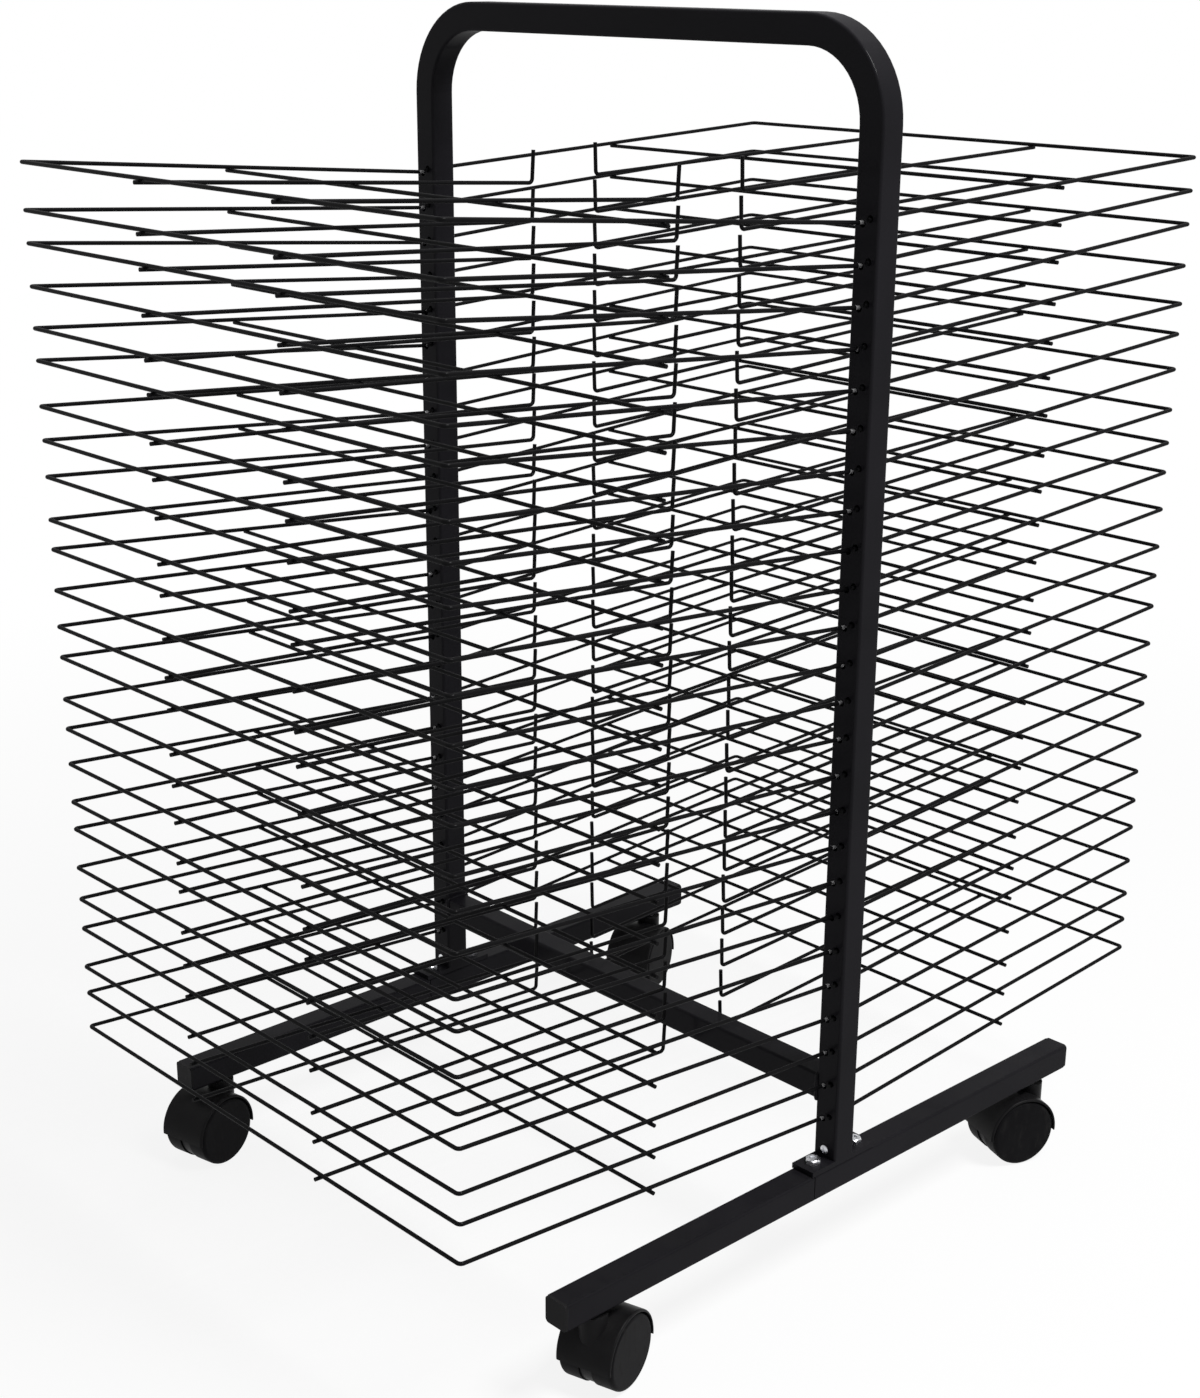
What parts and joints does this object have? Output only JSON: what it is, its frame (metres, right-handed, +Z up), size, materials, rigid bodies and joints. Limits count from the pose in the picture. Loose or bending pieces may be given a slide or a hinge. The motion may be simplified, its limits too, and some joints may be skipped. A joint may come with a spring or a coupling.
{
  "type": "art drying rack",
  "caption": "Mobile art drying rack: a bent square-tube frame on twin-wheel swivel casters, with tilted wire shelves that hold wet sheets on both sides.",
  "frame": {"origin": "on the floor, below the middle of the rack", "axes": "+X from the left upright to the right one, +Y along the feet from the front to the rear, +Z up"},
  "size_m": [0.4828, 0.6992, 0.868],
  "materials": {
    "frame_coat": "satin black powder coat on square steel tube",
    "wire_coat": "smooth black coat on round steel wire",
    "cap_plastic": "matt black moulded plastic",
    "hood_plastic": "satin black moulded nylon",
    "wheel_plastic": "satin black moulded nylon, slightly worn where it rolls",
    "zinc": "bright zinc plate",
    "plain_steel": "plain steel inside the tubes"
  },
  "bodies": {
    "rack": {"upright_frame": "frame_coat", "crossbar": "frame_coat", "left_foot_front": "frame_coat", "left_foot_rear": "frame_coat", "right_foot_front": "frame_coat", "right_foot_rear": "frame_coat", "left_base_plate": "frame_coat", "right_base_plate": "frame_coat", "foot_joint_spigots": "plain_steel", "foot_end_caps": "cap_plastic", "base_bolts": "zinc", "base_nuts": "zinc", "upright_screws": "zinc", "caster_inserts": "zinc", "caster_stems": "zinc", "shelf_pair_01": "wire_coat", "shelf_pair_02": "wire_coat", "shelf_pair_03": "wire_coat", "shelf_pair_04": "wire_coat", "shelf_pair_05": "wire_coat", "shelf_pair_06": "wire_coat", "shelf_pair_07": "wire_coat", "shelf_pair_08": "wire_coat", "shelf_pair_09": "wire_coat", "shelf_pair_10": "wire_coat", "shelf_pair_11": "wire_coat", "shelf_pair_12": "wire_coat", "shelf_pair_13": "wire_coat", "shelf_pair_14": "wire_coat", "shelf_pair_15": "wire_coat", "shelf_pair_16": "wire_coat", "shelf_pair_17": "wire_coat", "shelf_pair_18": "wire_coat", "shelf_pair_19": "wire_coat", "shelf_pair_20": "wire_coat", "shelf_pair_21": "wire_coat", "shelf_pair_22": "wire_coat", "shelf_pair_23": "wire_coat", "shelf_pair_24": "wire_coat", "shelf_pair_25": "wire_coat"},
    "front_left_swivel_body": {"caster_front_left_hood": "hood_plastic", "caster_front_left_axle": "plain_steel"},
    "front_left_wheel_a_body": {"caster_front_left_wheel_a": "wheel_plastic"},
    "front_left_wheel_b_body": {"caster_front_left_wheel_b": "wheel_plastic"},
    "front_right_swivel_body": {"caster_front_right_hood": "hood_plastic", "caster_front_right_axle": "plain_steel"},
    "front_right_wheel_a_body": {"caster_front_right_wheel_a": "wheel_plastic"},
    "front_right_wheel_b_body": {"caster_front_right_wheel_b": "wheel_plastic"},
    "rear_left_swivel_body": {"caster_rear_left_hood": "hood_plastic", "caster_rear_left_axle": "plain_steel"},
    "rear_left_wheel_a_body": {"caster_rear_left_wheel_a": "wheel_plastic"},
    "rear_left_wheel_b_body": {"caster_rear_left_wheel_b": "wheel_plastic"},
    "rear_right_swivel_body": {"caster_rear_right_hood": "hood_plastic", "caster_rear_right_axle": "plain_steel"},
    "rear_right_wheel_a_body": {"caster_rear_right_wheel_a": "wheel_plastic"},
    "rear_right_wheel_b_body": {"caster_rear_right_wheel_b": "wheel_plastic"}
  },
  "joints": [
    {"name": "front_left_swivel", "type": "hinge", "parent": "rack", "child": "front_left_swivel_body", "pos_m": [-0.2175, -0.236, 0.055], "axis": [0, 0, 1], "continuous": true},
    {"name": "front_left_wheel_a_spin", "type": "hinge", "parent": "front_left_swivel_body", "child": "front_left_wheel_a_body", "pos_m": [-0.21417, -0.25165, 0.027], "axis": [-0.9781, -0.2079, 0], "continuous": true},
    {"name": "front_left_wheel_b_spin", "type": "hinge", "parent": "front_left_swivel_body", "child": "front_left_wheel_b_body", "pos_m": [-0.21417, -0.25165, 0.027], "axis": [-0.9781, -0.2079, 0], "continuous": true},
    {"name": "front_right_swivel", "type": "hinge", "parent": "rack", "child": "front_right_swivel_body", "pos_m": [0.2175, -0.236, 0.055], "axis": [0, 0, 1], "continuous": true},
    {"name": "front_right_wheel_a_spin", "type": "hinge", "parent": "front_right_swivel_body", "child": "front_right_wheel_a_body", "pos_m": [0.21309, -0.22062, 0.027], "axis": [0.9613, 0.2756, 0], "continuous": true},
    {"name": "front_right_wheel_b_spin", "type": "hinge", "parent": "front_right_swivel_body", "child": "front_right_wheel_b_body", "pos_m": [0.21309, -0.22062, 0.027], "axis": [0.9613, 0.2756, 0], "continuous": true},
    {"name": "rear_left_swivel", "type": "hinge", "parent": "rack", "child": "rear_left_swivel_body", "pos_m": [-0.2175, 0.236, 0.055], "axis": [0, 0, 1], "continuous": true},
    {"name": "rear_left_wheel_a_spin", "type": "hinge", "parent": "rear_left_swivel_body", "child": "rear_left_wheel_a_body", "pos_m": [-0.21203, 0.22096, 0.027], "axis": [-0.9397, -0.342, 0], "continuous": true},
    {"name": "rear_left_wheel_b_spin", "type": "hinge", "parent": "rear_left_swivel_body", "child": "rear_left_wheel_b_body", "pos_m": [-0.21203, 0.22096, 0.027], "axis": [-0.9397, -0.342, 0], "continuous": true},
    {"name": "rear_right_swivel", "type": "hinge", "parent": "rack", "child": "rear_right_swivel_body", "pos_m": [0.2175, 0.236, 0.055], "axis": [0, 0, 1], "continuous": true},
    {"name": "rear_right_wheel_a_spin", "type": "hinge", "parent": "rear_right_swivel_body", "child": "rear_right_wheel_a_body", "pos_m": [0.21203, 0.22096, 0.027], "axis": [-0.9397, 0.342, 0], "continuous": true},
    {"name": "rear_right_wheel_b_spin", "type": "hinge", "parent": "rear_right_swivel_body", "child": "rear_right_wheel_b_body", "pos_m": [0.21203, 0.22096, 0.027], "axis": [-0.9397, 0.342, 0], "continuous": true}
  ]
}
